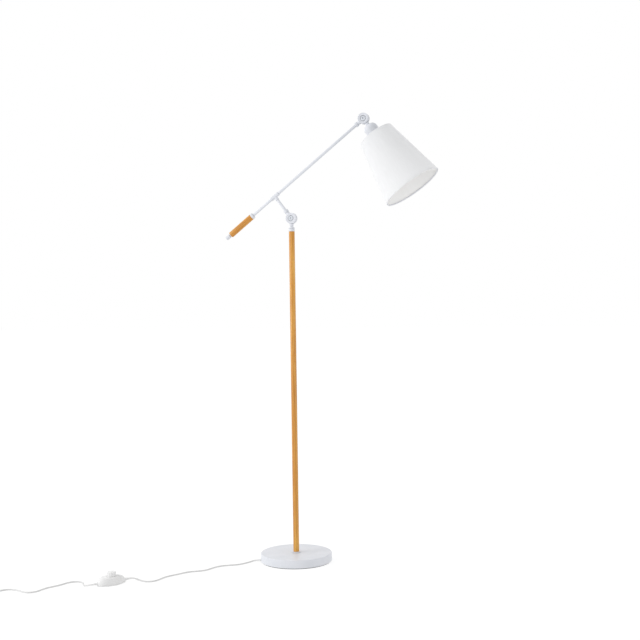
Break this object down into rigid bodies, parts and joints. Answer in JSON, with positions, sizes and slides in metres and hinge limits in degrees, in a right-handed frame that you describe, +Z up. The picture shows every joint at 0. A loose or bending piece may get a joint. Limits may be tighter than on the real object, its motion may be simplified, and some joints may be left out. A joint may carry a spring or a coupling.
{
  "type": "adjustable arm floor lamp",
  "caption": "Floor lamp with a weighted disc base, a wooden pole, a counterbalanced arm on two friction knuckles, a conical shade and a lead with a foot switch.",
  "frame": {"origin": "middle of the felt under the base, where the lamp stands on the floor, on the pole's axis", "axes": "+Z up along the pole; +X is the direction in which the arm reaches out to the shade; the arm, strut and shade axis lie in the XZ plane and both knuckles pivot about Y"},
  "size_m": [1.4277, 0.8232, 1.5537],
  "materials": {
    "white_enamel": "satin white powder coat over steel or zinc casting",
    "pole_oak": "clear-lacquered honey-coloured hardwood, grain along the pole",
    "grip_oak": "clear-lacquered honey-coloured hardwood, grain along the grip",
    "shade_fabric": "smooth white fabric laminated on a stiff liner",
    "white_plastic": "moulded white plastic, semi-gloss",
    "cord_pvc": "white round two-core lead, matt sheath",
    "zinc_steel": "zinc-plated steel",
    "brass": "bare brass",
    "cast_iron": "raw cast iron",
    "felt": "pressed dark felt",
    "fibre": "pressed fibre friction disc",
    "frosted_glass": "frosted white bulb glass"
  },
  "bodies": {
    "stand": {"base_pad": "felt", "base_cover": "white_enamel", "base_weight": "cast_iron", "base_washer": "zinc_steel", "base_nut": "zinc_steel", "cord_gland": "white_plastic", "lead_in_base": "cord_pvc", "pole_foot_flange": "white_enamel", "pole_core_tube": "zinc_steel", "lead_in_pole": "cord_pvc", "pole_wood": "pole_oak", "pole_ferrule": "white_enamel", "swivel_collar": "white_enamel", "switch_plate": "white_plastic", "switch_cover": "white_plastic", "switch_block": "white_plastic", "switch_spring": "zinc_steel", "cord_base_to_switch": "cord_pvc", "cord_switch_to_coil": "cord_pvc", "cord_coil": "cord_pvc", "cord_tail": "cord_pvc", "plug_body": "white_plastic", "plug_pin_left": "brass", "plug_pin_right": "brass"},
    "yoke": {"swivel_stem": "white_enamel", "lower_knuckle_rear": "white_enamel", "lower_pivot_nut": "zinc_steel"},
    "arm": {"lower_knuckle_front": "white_enamel", "lower_pivot_screw": "zinc_steel", "lower_spring_washer": "zinc_steel", "lower_friction_disc": "fibre", "strut_lock_ring": "white_enamel", "strut_tube": "white_enamel", "lead_in_strut": "cord_pvc", "arm_tee": "white_enamel", "arm_tube": "white_enamel", "lead_in_arm": "cord_pvc", "grip_ring": "white_enamel", "grip_rod": "zinc_steel", "grip_core": "cast_iron", "grip_wood": "grip_oak", "grip_knob": "white_enamel", "upper_knuckle_front": "white_enamel", "upper_pivot_screw": "zinc_steel", "upper_spring_washer": "zinc_steel", "upper_friction_disc": "fibre", "arm_lock_ring": "white_enamel"},
    "head": {"upper_knuckle_rear": "white_enamel", "upper_pivot_nut": "zinc_steel", "holder_nipple": "zinc_steel", "holder_cup": "white_enamel", "lampholder": "white_plastic", "lampholder_contact": "brass", "shade_top_frame": "white_enamel", "shade_ring_nut": "white_plastic", "shade_shell": "shade_fabric", "shade_mouth_wire": "white_enamel", "bulb_cap": "brass", "bulb_glass": "frosted_glass"},
    "button": {"switch_button": "white_plastic"}
  },
  "joints": [
    {"name": "pole_swivel", "type": "hinge", "parent": "stand", "child": "yoke", "pos_m": [0, 0, 1.172], "axis": [0, 0, 1], "range_deg": [-165, 165]},
    {"name": "arm_tilt", "type": "hinge", "parent": "yoke", "child": "arm", "pos_m": [0, 0, 1.204], "axis": [0, -1, 0], "range_deg": [-57, 47]},
    {"name": "head_tilt", "type": "hinge", "parent": "arm", "child": "head", "pos_m": [0.26678, 0, 1.53475], "axis": [0, -1, 0], "range_deg": [-35, 110]},
    {"name": "button_press", "type": "slide", "parent": "stand", "child": "button", "axis": [0, 0, -1], "range_m": [0, 0.0035], "stiffness_N_per_m": 1500, "springref_m": -0.003, "deforming": ["switch_spring"]}
  ]
}
